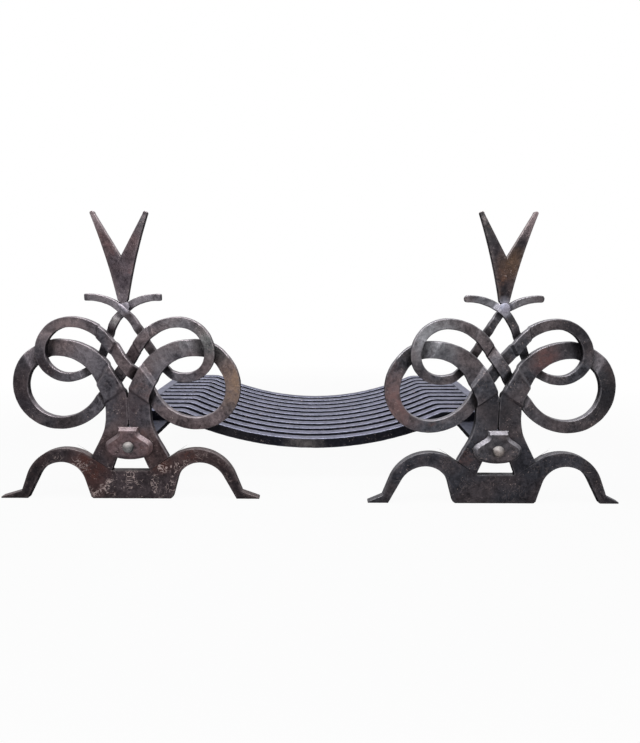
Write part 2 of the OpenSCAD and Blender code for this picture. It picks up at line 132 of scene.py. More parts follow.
TIP_ROUND = {"left": 2, "right": 5.4}
TIP_REACH = 4  # most that a rounded tip reaches past the end of its path
TIP_TURNS = (0, 30, 55, 75)
TIP_FLAT = 0.6  # what a rounded tip keeps between its worn edges
STEM_WELD = {"left": (147, 188), "right": (186, 194)}
STEM_WELD_W = 4.4
STEM_WELD_DEEP = 8
STEM_WELD_LOW = 0.1  # how far its face lies below the stem's
STEM_WELD_EDGE_R = 0.4
CROSSING_WELD = {  # place from the crossing, radii, whether it lies along the upper bar
    "left": [((2, 2.2, 2.6), (13, 6.9, 4.4), True), ((1.5, 6.8, 7), (10, 6, 10.5), False)],
    "right": [((0, 2.8, 5.5), (10, 7.1, 10.5), False)]}
LAP_LENGTH = 20  # reach of the lapped limb's edge below the notch
LAP_DEPTH = 1.1
LAP_FADE = 18
LAP_EDGE = 0.5  # width of its worn edge
LAP_STEP = 1.5  # between its points, which lie in these rows across the edge
LAP_ROWS = (0.25, -0.25, -1.3)
OVER_LIMB = {"left": 1, "right": -1}
END_BEAD_R = 2.2
END_BEAD_SHORT = 2  # how far it stops short of a slat's corners

# ---- fineness and wear of the forged surfaces ----

RING_STEP = 2.4  # between the rings of a scroll bar
STEM_STEP = 3.6  # between the rings of its stem
SLAT_STEP = 6  # between the rings of a grate bar
PROBE_STEP = 5  # between the points that look for crossings
PROBE_APART = 4  # steps along the bar before it can cross itself
FACE_STEP = 5  # between the points inside a plate's face
KEEPER_STEP = 4  # the same inside the keeper's faces
EDGE_STEP = 3  # between the points along a plate's outline
FACE_CLEARANCE = 0.55  # share of the step that points inside a face keep from others
STRAIGHT = 0.9999  # cosine between edges that count as one line
CORNER_STEPS = 3  # facets that round a corner of a bar
FACE_POINTS = (5, 2)  # points across the front and back of a bar, and across its sides
FACE_MARGIN = 1.2  # most that these points keep from the corner
SHARP_ANGLE = {"left": 70, "right": 48}  # degrees; the right dog's bends are crisper
CRISP_SLOPE = {"left": 0.7, "right": 0.3}  # joggles steeper than this keep their corners
CRISP_EASE = 0.2  # how far crisp and soft joggles swing in and out
SOFT_EASE = 0.7
EDGE_R = 1.5  # radius of the worn edges
PLATE_EDGE_R = 1.0
DENT_CELL = 13  # size of a hammer mark
DENT_DEPTH = 0.35
DENT_SLOPE = 1.5
KEEPER_DENT = 0.2  # depth of the marks on a keeper and a rivet
RIVET_DENT = 0.8
WAVE_CELL = 34  # slow waviness of hand-forged stock
WAVE_DEPTH = 0.4
DOG_SEED = 400  # steps through the noise that set the marks of like pieces apart
SLAT_SEED = 300
END_SEED = 9000
PROUD = 0.36  # what the marks take off on average, left on a bar beforehand
CREASE_WEAR = 0.6  # wear on the raised creases of the steepest steps
CREASE_SLOPE = 0.8  # change of slope that makes such a crease
RIVET_WEAR = 0.4
WELD_WEAR = 0.5
BEAD_END = 0.25  # share of its radius that a bead has at its ends
BEAD_RIPPLE = 0.16
BEAD_RIPPLES = 2.2  # radians of the ripple per millimetre
BEAD_UNEVEN = 0.2
BEAD_CELL = 3
LUMP_FLATNESS = 0.35  # power that flattens a lump of weld; 1 leaves it round
LUMP_UNEVEN = 0.09
LUMP_CELL = 6
LUMP_SPAN = 9  # radius of the sphere on which its unevenness is read


# ---- paths ----

def polar(length, angle):
    """2-D vector at an angle in degrees."""
    return Vector((cos(radians(angle)), sin(radians(angle)))) * length


def arc(centre, radius, start, end, step=EDGE_STEP):
    """Points of an arc from one angle to another."""
    n = max(2, ceil(radius * radians(abs(end - start)) / step))
    return [Vector(centre) + polar(radius, start + (end - start) * k / n) for k in range(n + 1)]


def mix(a, b, k):
    """Value at a share k of the way from a to b."""
    return a + (b - a) * k


class Path:
    """Centre line of straight runs and bends, with a width that changes along it."""

    def __init__(self, start, heading, width):
        self.runs = []
        self.joints = [(0.0, Vector(start), heading, width)]

    def run(self, size, turn=0, width=None):
        """Adds a straight run of a length, or a bend of a radius that turns by an angle."""
        length = size * radians(abs(turn)) if turn else size
        station, point, heading, old_width = self.joints[-1]
        self.runs.append((length, turn))
        end = self._travel(point, heading, length, turn, length)
        self.joints.append((station + length, end, heading + turn,
                            old_width if width is None else width))
        return self

    @staticmethod
    def _travel(point, heading, length, turn, distance):
        if not turn:
            return point + polar(distance, heading)
        rate = radians(turn) / length
        a = radians(heading)
        b = a + rate * distance
        return point + Vector((sin(b) - sin(a), cos(a) - cos(b))) / rate

    @property
    def length(self):
        return self.joints[-1][0]

    def at(self, station):
        """Point, heading and width at a station."""
        station = min(max(station, 0.0), self.length)
        i = 0
        while i < len(self.runs) - 1 and station >= self.joints[i + 1][0]:
            i += 1
        start, point, heading, width = self.joints[i]
        length, turn = self.runs[i]
        distance = station - start
        return (self._travel(point, heading, length, turn, distance),
                heading + turn * distance / length,
                mix(width, self.joints[i + 1][3], distance / length))


# ---- surfaces ----

def at_depth(p, y):
    """Point behind a 2-D point of the front plane."""
    return Vector((p.x, y, p.y))


def hammered(point, outward, seed, depth=DENT_DEPTH, proud=0.0):
    """The point moved inwards by the dents and the waviness that forging leaves."""
    distances, _ = noise.voronoi((point + seed) / DENT_CELL)
    dish = 1 - min(1.0, distances[0] * DENT_SLOPE) ** 2
    wave = 0.5 + 0.5 * noise.noise((point + seed) / WAVE_CELL)
    return point + outward * (proud - depth * (dish + wave * WAVE_DEPTH / DENT_DEPTH))


def section(width, depth, corner):
    """Rounded rectangle: (across, deep, outward across, outward deep, wear)."""
    a = width / 2 - corner
    d = depth / 2 - corner
    near = min(FACE_MARGIN, 0.4 * min(a, d))
    loop = []
    for quarter, (sa, sd) in enumerate(((1, 1), (-1, 1), (-1, -1), (1, -1))):
        for k in range(CORNER_STEPS + 1):
            out = polar(1, 90 * (quarter + k / CORNER_STEPS))
            loop.append((sa * a + corner * out.x, sd * d + corner * out.y, out.x, out.y, 1.0))
        out = polar(1, 90 * (quarter + 1))
        splits = FACE_POINTS[quarter % 2]
        for k in [k / (splits - 1) for k in range(splits)]:
            if quarter % 2 == 0:
                loop.append((sa * mix(a - near, near - a, k), sd * depth / 2, 0, out.y, 0.0))
            else:
                loop.append((sa * width / 2, sd * mix(d - near, near - d, k), out.x, 0, 0.0))
    return loop


def ring(left, right, mid_y, depth, corner, seed, proud=PROUD, crease=0.0):
    """Points of a section that reaches from one edge point to the other."""
    across = left - right
    width = across.length
    across = across / width
    centre = (left + right) / 2
    points = []
    for q, deep, out_q, out_deep, wear in section(width, depth, corner):
        outward = Vector((across.x * out_q, out_deep, across.y * out_q))
        flat = at_depth(centre + across * q, mid_y + deep)
        points.append((hammered(flat, outward, seed, proud=proud), max(wear, crease)))
    return points


def band(a, b, n):
    """Faces between two closed rows of n points that start at the numbers a and b."""
    return [(a + k, a + (k + 1) % n, b + (k + 1) % n, b + k) for k in range(n)]


def skin(rings):
    """Shell over rings with the same number of points, closed at both ends."""
    n, last = len(rings[0]), len(rings) - 1
    faces = [face for i in range(last) for face in band(i * n, (i + 1) * n, n)]
    faces += [tuple(range(n)), tuple(range(last * n, (last + 1) * n))]
    return [p for one in rings for p in one], faces


def swept(path, mid_y, depth, corner, step, seed, proud=PROUD):
    """Shell of a plain bar along a path."""
    n = ceil(path.length / step)
    rings = []
    for i in range(n + 1):
        point, heading, width = path.at(path.length * i / n)
        side = polar(width / 2, heading + 90)
        rings.append(ring(point + side, point - side, mid_y, depth, corner, seed, proud))
    return skin(soft_ends(rings, corner))


def soft_ends(rings, corner):
    """The rings with both ends rounded off by a smaller one."""
    def middle(one):
        return sum((p for p, _ in one), Vector()) / len(one)

    def smaller(one):
        centre = middle(one)
        arms = [p - centre for p, _ in one]
        return [(centre + arm * (1 - corner / arm.length), 1.0) for arm in arms]

    def drawn_in(one, beside):
        move = (middle(beside) - middle(one)).normalized() * corner
        return [(p + move, 1.0) for p, _ in one]

    return [smaller(rings[0]), drawn_in(rings[0], rings[1]), *rings[1:-1],
            drawn_in(rings[-1], rings[-2]), smaller(rings[-1])]


def inset(points, depths):
    """Outline moved inwards. depths[i] is the distance at the edge from point i to the next."""
    n = len(points)
    moved = []
    for i, p in enumerate(points):
        before = (p - points[i - 1]).normalized()
        after = (points[(i + 1) % n] - p).normalized()
        na, nb = Vector((-before.y, before.x)), Vector((-after.y, after.x))
        da, db, c = depths[i - 1], depths[i], na.dot(nb)
        if c > STRAIGHT:
            moved.append(p + na * min(da, db))
        else:
            moved.append(p + ((da - db * c) * na + (db - da * c) * nb) / (1 - c * c))
    return moved


def inside(p, outline):
    """Whether a point lies inside an outline."""
    odd = False
    for a, b in zip(outline, outline[1:] + outline[:1]):
        if (a.y > p.y) != (b.y > p.y) and p.x < mix(a.x, b.x, (p.y - a.y) / (b.y - a.y)):
            odd = not odd
    return odd


def filled(outline, holes, extra, step):
    """Points and triangles of a face with a grid of points inside its outline."""
    loops = [outline, *holes]
    points = [p for loop in loops for p in loop]
    left, bottom, right, top = [f(p[i] for p in outline) for f in (min, max) for i in (0, 1)]
    inner = list(extra)
    for i in range(int((right - left) / step) + 1):
        for j in range(int((top - bottom) / step) + 1):
            p = Vector((left + (i + 0.5 * (j % 2)) * step, bottom + (j + 0.5) * step))
            if inside(p, outline) and not any(inside(p, hole) for hole in holes):
                if all((p - q).length > step * FACE_CLEARANCE for q in points + list(extra)):
                    inner.append(p)
    edges = []
    for loop in loops:
        start = len(edges)
        edges += [(start + k, start + (k + 1) % len(loop)) for k in range(len(loop))]
    spots, _, triangles, origins, _, _ = delaunay_2d_cdt(points + inner, edges, [], 1, 1e-6)
    number = [o[0] if o else None for o in origins]
    keep = []
    for t in triangles:
        middle = sum((Vector(spots[k]) for k in t), Vector((0, 0))) / 3
        if not any(inside(middle, hole) for hole in holes):
            keep.append(tuple(number[k] for k in t))
    return points + inner, keep


def layered(layers, leans, shaped, holes=(), extra=(), step=FACE_STEP):
    """Shell over rows of (point, y, wear) from a front face to a back face, with at most one
    hole. leans gives the way that each row faces along Y, and shaped gives a row's point on
    the shell and its wear."""
    n, last = len(layers[0]), len(layers) - 1
    points = [shaped(*spot, lean) for layer, lean in zip(layers, leans) for spot in layer]
    faces = [face for k in range(last) for face in band(k * n, (k + 1) * n, n)]
    starts = []
    for k, lean in ((0, -1), (last, 1)):
        starts.append(len(points))
        spots, triangles = filled([p for p, _, _ in layers[k]], holes, extra, step)
        points += [shaped(p, layers[k][0][1], 0.0, lean) for p in spots[n:]]
        number = [*range(k * n, (k + 1) * n), *range(starts[-1], len(points))]
        faces += [tuple(number[i] for i in t) for t in triangles]
    for hole in holes:
        faces += band(*starts, len(hole))
    return points, faces


def plate(outline, y_front, y_back, scarf=(), relief=None, extra=(), seed=Vector()):
    """Shell of a plate with worn edges. The edges numbered in scarf stay square, and relief
    gives how far the front lies lower at a point, and its wear."""
    n = len(outline)
    plain = {i for edge in scarf for i in (edge, (edge + 1) % n)}
    front = [(PLATE_EDGE_R * (1 - sin(a)), PLATE_EDGE_R * (1 - cos(a)))
             for a in [pi / 2 * k / CORNER_STEPS for k in range(CORNER_STEPS + 1)]]
    rows = [(d, y_front + y) for d, y in front] + [(d, y_back - y) for d, y in reversed(front)]
    layers = []
    for d, y in rows:
        depths = [0 if i in scarf else d for i in range(n)]
        layers.append([(p, y, 0.0 if i in plain else 1.0)
                       for i, p in enumerate(inset(outline, depths))])

    def shaped(p, y, wear, lean):
        if relief and lean < 0:
            lower, worn = relief(p)
            y, wear = y + lower, max(wear, worn)
        return hammered(at_depth(p, y), Vector((0, lean, 0)), seed), wear

    leans = [-1] * len(front) + [1] * len(front)
    return layered(layers, leans, shaped, extra=extra)


def lathe(profile, centre, sides, seed, depth, wear):
    """Shell turned round an axis along Y. profile lists (radius, y, outward radius, outward y)."""
    rings = []
    for r, y, out_r, out_y in profile:
        one = []
        for k in range(sides):
            out = polar(1, 360 * k / sides)
            outward = Vector((out.x * out_r, out_y, out.y * out_r))
            one.append((hammered(at_depth(centre + out * r, y), outward, seed, depth), wear))
        rings.append(one)
    return skin(rings)


def bead(start, end, radius, seed, sides=10, step=1.2):
    """Shell of a weld bead with ripples, tapering to both ends."""
    axis = end - start
    n = max(6, ceil(axis.length / step))
    side = axis.orthogonal().normalized()
    up = axis.cross(side).normalized()
    rings = []
    for k in [i / n for i in range(n + 1)]:
        middle = start + axis * k
        r = radius * mix(BEAD_END, 1, sqrt(max(0.0, sin(pi * k))))
        r *= (1 + BEAD_RIPPLE * sin(axis.length * k * BEAD_RIPPLES)
              + BEAD_UNEVEN * noise.noise((middle + seed) / BEAD_CELL))
        rings.append([(middle + (side * cos(a) + up * sin(a)) * r, WELD_WEAR)
                      for a in [2 * pi * j / sides for j in range(sides)]])
    return skin(rings)


def lump(centre, radii, lean, seed, sides=40, levels=22):
    """Shell of a lump of weld, dressed flat by the hammer. Its radii are along a line that
    leans by an angle in degrees, along Y and across the line."""
    along, across = polar(radii[0], lean), polar(radii[2], lean + 90)
    rings = []
    for i in range(1, levels):
        a = pi * i / levels
        one = []
        for k in range(sides):
            b = 2 * pi * k / sides
            out = Vector((sin(a) * cos(b), sin(a) * sin(b), cos(a)))
            uneven = noise.noise((centre + out * LUMP_SPAN + seed) / LUMP_CELL)
            flat = (along * out.x + across * out.z) * (1 + LUMP_UNEVEN * uneven)
            deep = radii[1] * copysign(abs(out.y) ** LUMP_FLATNESS, out.y)
            one.append((centre + at_depth(flat, deep), WELD_WEAR))
        rings.append(one)
    return skin(rings)


# ---- pieces ----

def linked(name, data):
    """New object in the scene."""
    made = bpy.data.objects.new(name, data)
    bpy.context.scene.collection.objects.link(made)
    return made


def piece(name, shells, material, body, slot, nodes=(), origin=Vector(), turned=False, sharp=50):
    """A mesh object of one or more shells, smooth up to an angle, with the wear of its edges."""
    points, faces = [], []
    for shell_points, shell_faces in shells:
        start = len(points)
        points += shell_points
        faces += [tuple(start + k for k in face) for face in shell_faces]
    mesh = bpy.data.meshes.new(name)
    spots = [Vector((p.y, p.x, p.z)) if turned else p for p, _ in points]
    mesh.from_pydata([origin + p * MM for p in spots], [], faces)
    wear = mesh.attributes.new("wear", "FLOAT", "POINT")
    wear.data.foreach_set("value", [w for _, w in points])
    solid = bmesh.new()
    solid.from_mesh(mesh)
    bmesh.ops.recalc_face_normals(solid, faces=solid.faces)
    for face in solid.faces:
        face.smooth = True
    solid.to_mesh(mesh)
    solid.free()
    mesh.set_sharp_from_angle(angle=radians(sharp))
    mesh.materials.append(material)
    made = linked(name, mesh)
    made.modifiers.new("flat faces", "WEIGHTED_NORMAL").keep_sharp = True
    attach(made, body)
    if nodes:
        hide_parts(*nodes)


# ---- scroll bars ----

def scroll_path():
    """Centre line of the right-hand bar above its plain stem."""
    path = Path((SEAM / 2 + STEM_W / 2, STEM_TOP_Z), 90, STEM_W)
    for size, turn, width in SCROLL_RUNS:
        path.run(size, turn, width)
    return path


SCROLL = scroll_path()
THIN_FROM = SCROLL.joints[THIN_AFTER][0]

# At each crossing along a bar: the way that bar a and bar b step (1 towards the front), the
# share of the step that they take, its length, and how much longer its level part is.
WEAVE = [
    ((1, 1), 0.5, 5, 8), ((1, 1), 0, 12, 0), ((-1, -1), 0.8, 24, 0), ((-1, -1), 0.5, 12, 0),
    ((-1, 1), 0.5, 20, 0), ((1, 1), 0.5, 5, 8), ((1, 1), 0.2, 24, 0), ((-1, -1), 1, 16, 0),
    ((-1, -1), 0.5, 12, 0), ((1, -1), 0.5, 12, 0)]


def bar_depth(station):
    """Thickness of a scroll bar, which is drawn out towards its tip."""
    return mix(BAR_T, TIP_T, max(0.0, station - THIN_FROM) / (SCROLL.length - THIN_FROM))


def find_crossings():
    """Where the bar crosses itself or its mirrored twin: (station, other station, headings)."""
    n = ceil(SCROLL.length / PROBE_STEP)
    own = [SCROLL.at(SCROLL.length * i / n)[0] for i in range(n + 1)]
    twin = [Vector((-p.x, p.y)) for p in own]
    found = []
    for i in range(n):
        p, r = own[i], own[i + 1] - own[i]
        for others in (own, twin):
            for j in range(n):
                if others is own and abs(i - j) < PROBE_APART:
                    continue
                a, s = others[j], others[j + 1] - others[j]
                den = r.cross(s)
                if abs(den) < 1e-9:
                    continue
                t, u = (a - p).cross(s) / den, (a - p).cross(r) / den
                if 0 <= t < 1 and 0 <= u < 1:
                    found.append(((i + t) * SCROLL.length / n, (j + u) * SCROLL.length / n,
                                  atan2(r.y, r.x), atan2(s.y, s.x)))
    return found


CROSSINGS = find_crossings()


def joggle_knots(bar):
    """(station, offset towards the front, slant of the section) along bar 0 or 1."""
    tops, feet = [], []
    for (_, other, here, there), (_, _, length, land) in zip(CROSSINGS, WEAVE):
        half = SCROLL.at(other)[2] / 2 / abs(sin(there - here)) + LAND_MARGIN
        tops.append(half + land)
        feet.append(tops[-1] + length)
    knots = [(0.0, 0.0, 0.0)]
    last = len(CROSSINGS) - 1
    for k, (at, other, here, there) in enumerate(CROSSINGS):
        ways, share = WEAVE[k][:2]
        if not share:
            continue
        slant = cos(there - here) / sin(there - here)
        y = ways[bar] * share * ((bar_depth(at) + bar_depth(other)) / 2 + WEAVE_GAP)
        before = at - feet[k] - (CROSSINGS[k - 1][0] + feet[k - 1] if k else 0)
        end = SCROLL.length if k == last else CROSSINGS[k + 1][0] - feet[k + 1]
        if before > 0:
            knots.append((at - feet[k], 0.0, slant))
        knots += [(at - tops[k], y, slant), (at + tops[k], y, slant)]
        if end - at - feet[k] > 0:
            knots.append((at + feet[k], 0.0, slant))
    return knots + [(SCROLL.length, 0.0, 0.0)]


def edge_point(station, slant, q):
    """Point at a distance q from the centre line, in a section that slants."""
    point, heading, _ = SCROLL.at(station + slant * q)
    return point + polar(q, heading + 90)


def stem_inner(z):
    """Distance from the dog's axis to the inner edge of a stem half."""
    return SEAM / 2 + max(0, SEAM_OPEN_Z - z) / (SEAM_OPEN_Z - SILL_Z) * (WINDOW_HALF - SEAM / 2)


def stem_outer(z):
    """Distance from the dog's axis to the outer edge of a stem half."""
    flare = polar(FLARE_R, FLARE_TURN)
    centre_u, end_z = SEAM / 2 + STEM_W + FLARE_R, STEM_TOP_Z - flare.y
    if z < end_z:
        return mix(centre_u - flare.x, CROTCH[0], (end_z - z) / (end_z - CROTCH[1]))
    return centre_u - sqrt(FLARE_R ** 2 - (STEM_TOP_Z - z) ** 2)


def scroll_bar(bar, dog, seed):
    """Shell of bar 0 (left) or 1, from its scarf on the base plate to its whisker's tip."""
    rings = []
    levels = ceil((STEM_TOP_Z - SILL_Z) / STEM_STEP)
    for k in [level / levels for level in range(levels)]:
        zi, zo = (mix(z, STEM_TOP_Z, k) for z in (SILL_Z, CROTCH[1]))
        rings.append(ring(Vector((stem_inner(zi), zi)), Vector((stem_outer(zo), zo)),
                          BAR_T / 2, BAR_T, EDGE_R, seed, PROUD * k))
    knots = joggle_knots(bar)
    slope_before = 0.0
    for (s0, y0, m0), (s1, y1, m1) in zip(knots, knots[1:]):
        n = max(3 if y0 != y1 else 1, ceil((s1 - s0) / RING_STEP))
        slope = (y1 - y0) / (s1 - s0)
        ease = CRISP_EASE if abs(slope) > CRISP_SLOPE[dog] else SOFT_EASE
        for i in range(n):
            k = i / n
            eased = mix(k, k * k * (3 - 2 * k), ease)
            s, slant = mix(s0, s1, k), mix(m0, m1, k)
            half = SCROLL.at(s)[2] / 2
            raised = i == 0 and slope_before - slope > CREASE_SLOPE
            rings.append(ring(edge_point(s, slant, half), edge_point(s, slant, -half),
                              BAR_T / 2 - mix(y0, y1, eased), bar_depth(s), EDGE_R, seed,
                              crease=CREASE_WEAR if raised else 0.0))
        slope_before = slope
    tip_round = TIP_ROUND[dog]
    end, heading, _ = SCROLL.at(SCROLL.length)
    for out in [polar(tip_round, turn) for turn in TIP_TURNS]:
        short, less = tip_round - out.y, tip_round - out.x
        p = end + polar(min(tip_round, TIP_REACH) - short, heading)
        side = polar(TIP_W / 2 - less, heading + 90)
        depth = max(TIP_T - 2 * less, 2 * EDGE_R + TIP_FLAT)
        rings.append(ring(p + side, p - side, BAR_T / 2, depth, EDGE_R, seed))
    if bar == 0:
        rings = [[(Vector((-p.x, p.y, p.z)), wear) for p, wear in one] for one in rings]
    return skin(rings)


# ---- plates of a dog ----

def both_halves(half, other=None):
    """Outline of a right half and the mirror image of itself or another, counter-clockwise."""
    return half + [Vector((-p.x, p.y)) for p in reversed(other or half) if p.x > 1e-6]


def straight(a, b, step=EDGE_STEP, ended=False):
    """Points from a to b, without b unless it is ended."""
    n = max(1, round((Vector(b) - Vector(a)).length / step))
    return [mix(Vector(a), Vector(b), k / n) for k in range(n)] + [Vector(b)] * ended


def base_half(toe):
    """Right half of the base plate's outline and the number of its scarf edge."""
    arch = Vector((ARCH_U, ARCH_TOP_Z - ARCH_R))
    crotch_a = 180 - degrees(asin((CROTCH[1] - arch.y) / ARCH_R))
    leg_top = arch + polar(ARCH_R, LEG_LEAN)
    ankle = (leg_top.x + (leg_top.y - ANKLE_Z) * tan(radians(LEG_LEAN)), ANKLE_Z)
    inner_u = ARCH_U + INNER_SHIFT
    leg_c = Vector((inner_u, INNER_TOP_Z - LEG_INNER_R))
    leg_in = leg_c + polar(LEG_INNER_R, LEG_INNER_LEAN)
    heel = (leg_in.x + leg_in.y * tan(radians(LEG_INNER_LEAN)), 0)
    foot_c = (inner_u, INNER_TOP_Z - INNER_R)
    corner = FOOT_CORNER_R
    foot_side = (FOOT_HALF + corner * sin(radians(FOOT_LEAN)), corner)
    opening = arc(foot_c, INNER_R, 180 - FOOT_LEAN, 90)
    half = straight((0, 0), (FOOT_HALF - corner, 0), ended=True)
    half += straight(foot_side, opening[0]) + opening[:-1]
    half += arc(leg_c, LEG_INNER_R, 90, LEG_INNER_LEAN)
    half += straight(leg_in, heel)[1:] + straight(heel, (toe, 0), ended=True)
    half += straight((toe, TOE_H), ankle)
    half += straight(ankle, leg_top) + arc(arch, ARCH_R, LEG_LEAN, crotch_a)
    scarf = len(half) - 1
    half += straight((WINDOW_HALF, SILL_Z), (0, SILL_Z), ended=True)
    return half, scarf


def base_plate(left_toe, right_toe, seed):
    """Plate with its centre foot, two arches and two outer feet."""
    half, scarf = base_half(right_toe)
    other, other_scarf = base_half(left_toe)
    outline = both_halves(half, other)
    return plate(outline, 0, BASE_T, {scarf, len(outline) - 1 - other_scarf}, seed=seed)


def top_cross():
    """Height of the top crossing, and its slope and half width."""
    at, _, heading, _ = CROSSINGS[-1]
    point, _, width = SCROLL.at(at)
    return point.y, abs(heading), width / 2


def spear(height, over, seed):
    """Fishtail spear. Its limb on side over (-1 left, 1 right) is lapped over the other."""
    cross_z, slope, half_w = top_cross()
    seat_z = cross_z + half_w / cos(slope) + SEAT_GAP
    neck = Vector((SPEAR_NECK_W / 2, seat_z + SPEAR_NECK_W / 2 * abs(tan(slope))))
    shoulder = Vector((SPEAR_SPREAD + SPEAR_TIP_W / 2, height - SPEAR_TIP_W / 2))
    tip_c = (SPEAR_SPREAD, height - SPEAR_TIP_W / 2)
    notch = Vector((0, height - NOTCH_DEPTH))
    half = straight((0, seat_z), neck)
    n = round((shoulder - neck).length / EDGE_STEP)
    for k in [i / n for i in range(n)]:
        half.append(mix(neck, shoulder, k) - Vector((4 * SPEAR_BOW * k * (1 - k), 0)))
    tip = arc(tip_c, SPEAR_TIP_W / 2, 0, 180, 1)
    half += tip[:-1] + straight(tip[-1], notch, ended=True)
    line = (notch - tip[-1]).normalized()
    line.x *= over
    side = Vector((line.y, -line.x)) * over

    def relief(p):
        """Depth of the limb that lies below the lap, and the wear on the lap's edge."""
        along, across = (p - notch).dot(line), (p - notch).dot(side)
        fade = max(0.0, 1 - along / LAP_LENGTH if along > 0 else 1 + along / LAP_FADE)
        if across > 0:
            return LAP_DEPTH * fade * max(0.0, 1 - across / LAP_FADE), 0.0
        return 0.0, fade if along > 0 and across > -LAP_EDGE else 0.0

    creases = [notch + line * LAP_STEP * (1 + k) + side * across
               for k in range(int(LAP_LENGTH / LAP_STEP)) for across in LAP_ROWS]
    y = (BAR_T - SPEAR_T) / 2
    return plate(both_halves(half), y, y + SPEAR_T, relief=relief, extra=creases, seed=seed)


def crossing_welds(dog, seed):
    """Welds, dressed flat, that close the top crossing around the spear's foot."""
    cross_z, slope, _ = top_cross()
    over_bar = 180 - degrees(slope)
    return [lump(Vector((x, y, cross_z + z)), radii, over_bar if along else 0, seed)
            for (x, y, z), radii, along in CROSSING_WELD[dog]]


def stem_weld(low, high, seed):
    """Weld that closes the seam between the halves of the stem, a little below the face."""
    path = Path((0, low), 90, STEM_WELD_W).run(high - low)
    return swept(path, STEM_WELD_LOW + STEM_WELD_DEEP / 2, STEM_WELD_DEEP, STEM_WELD_EDGE_R,
                 RING_STEP, seed)


def keeper(rivet_z, seed):
    """Bevelled plate with a tab, two lobes, a belly and a hole for the rivet."""
    lobe = Vector((KEEPER_HALF - LOBE_R, 0))
    belly = Vector((KEEPER_HALF - BELLY_R, 0))
    turn = radians(LOBE_TURN)
    fillet_u = TAB_HALF + TAB_FILLET_R
    fillet_v = (LOBE_R + TAB_FILLET_R - (fillet_u - lobe.x) * cos(turn)) / sin(turn)
    fillet = Vector((fillet_u, fillet_v))
    slope_end = fillet + polar(TAB_FILLET_R, 180 + LOBE_TURN)
    end = belly + polar(BELLY_R, -BELLY_TURN)
    half = [Vector((end.x * k, mix(-KEEPER_DOWN, end.y, k ** 2)))
            for k in [i / 12 for i in range(12)]]
    half += arc(belly, BELLY_R, -BELLY_TURN, 0, 2) + arc(lobe, LOBE_R, 0, LOBE_TURN, 2)[1:-1]
    half += straight(lobe + polar(LOBE_R, LOBE_TURN), slope_end, 2)
    half += arc(fillet, TAB_FILLET_R, 180 + LOBE_TURN, 180, 2)
    half += straight((TAB_HALF, KEEPER_UP), (0, KEEPER_UP), 2.5, ended=True)
    centre = Vector((0, rivet_z))
    outline = [p + centre for p in both_halves(half)]
    hole = [centre + polar(RIVET_HOLE_R, 15 * k) for k in range(24)]
    b, t = KEEPER_BEVEL, KEEPER_T
    profile = [  # inset, y, wear, from the rubbed edge of the bevel to the back
        (b + 0.7, -t, 0.0), (b, 0.1 - t, 0.7), (b - 0.6, 0.6 - t, 1.0),
        (b - 1.3, 1.3 - t, 0.45), (1.3, b - 1.3 - t, 0.45), (0.5, b - 0.5 - t, 1.0),
        (0, b + 0.2 - t, 1.0), (0, -0.5, 0.5), (0.5, 0.0, 0.5)]
    layers = [[(p, y, wear) for p in inset(outline, [d] * len(outline))]
              for d, y, wear in profile]

    def shaped(p, y, wear, lean):
        return hammered(at_depth(p, y), Vector((0, lean, 0)), seed, KEEPER_DENT), wear

    return layered(layers, [-1] * len(layers), shaped, [hole], step=KEEPER_STEP)


def rivet(rivet_z, seed):
    """Domed head, shank and clinched tail."""
    head_r = (RIVET_HEAD_R ** 2 + RIVET_HEAD_H ** 2) / (2 * RIVET_HEAD_H)
    reach = degrees(asin(RIVET_HEAD_R / head_r))
    profile = []
    for k in range(1, 13):
        out = polar(1, reach * k / 12)
        profile.append((head_r * out.y, head_r * (1 - out.x) - RIVET_HEAD_H - KEEPER_T,
                        out.y, -out.x))
    back = BAR_T + LOG_BAR_T
    profile += [(RIVET_HEAD_R - 0.6, -KEEPER_T, 0, 0), (RIVET_R, -KEEPER_T, 0, 0),
                (RIVET_R, back, 0, 0), (RIVET_TAIL_R, back, 0, 0),
                (RIVET_TAIL_R, back + RIVET_TAIL_H - 1.5, 0.5, 0.5),
                (RIVET_TAIL_R - 2, back + RIVET_TAIL_H, 0, 1)]
    return lathe(profile, Vector((0, rivet_z)), 48, seed, RIVET_DENT, RIVET_WEAR)


def log_bar(low, high, front_y, seed):
    """Flat bar on edge through tongue, run and rear leg, in the plane of Y and Z."""
    top, back = high.z / MM, (high.y - front_y) / MM
    mid = top - LOG_BAR_T / 2
    path = Path((BAR_T + LOG_BAR_T / 2, TONGUE_Z), 90, LOG_BAR_T)
    path.run(mid - LOG_BEND_R - TONGUE_Z).run(LOG_BEND_R, -90)
    path.run(back - BAR_T - LOG_BAR_T - 2 * LOG_BEND_R).run(LOG_BEND_R, -90)
    path.run(mid - LOG_BEND_R)
    return swept(path, 0, (high.x - low.x) / MM, EDGE_R, SLAT_STEP, seed, proud=0)


# ---- grate ----

def slat(low, high, seed):
    """Square bar with a dished middle, around the middle of its own length."""
    half, mid_z = (high.x - low.x) / 2 / MM, high.z / MM - SLAT / 2
    dish_r = DISH_SAG / (1 - cos(radians(DISH_ANGLE))) - SLAT_BEND_R
    flat = half - (dish_r + SLAT_BEND_R) * sin(radians(DISH_ANGLE))
    path = Path((-half, mid_z), 0, SLAT)
    path.run(flat).run(SLAT_BEND_R, -DISH_ANGLE).run(dish_r, 2 * DISH_ANGLE)
    path.run(SLAT_BEND_R, -DISH_ANGLE).run(flat)
    return swept(path, SLAT / 2, SLAT, EDGE_R, SLAT_STEP, seed)


# ---- materials ----

